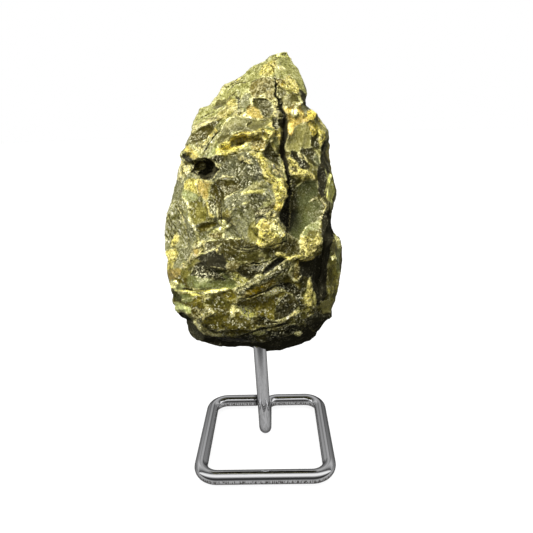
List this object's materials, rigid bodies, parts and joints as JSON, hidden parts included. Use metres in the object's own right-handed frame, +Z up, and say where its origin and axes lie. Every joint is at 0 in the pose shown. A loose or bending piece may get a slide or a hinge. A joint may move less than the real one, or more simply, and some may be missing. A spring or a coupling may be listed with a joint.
{
  "type": "serpentine rock on stand",
  "caption": "Rough upright serpentine rock with a pointed top, broken ledges and a long crack, drilled below and held on the post of a bent chrome wire base.",
  "frame": {"origin": "middle of the whole part's box, on the surface that the wire base stands on", "axes": "+Z up to the rock's summit, -Y out of its best face, +X to the right seen from the front"},
  "size_m": [0.0628, 0.052, 0.1403],
  "materials": {
    "chrome_wire": "polished",
    "serpentine": "rough broken with waxy facets and yellow rind"
  },
  "bodies": {
    "root": {"wire_stand": "chrome_wire", "serpentine_rock": "serpentine"}
  },
  "joints": []
}
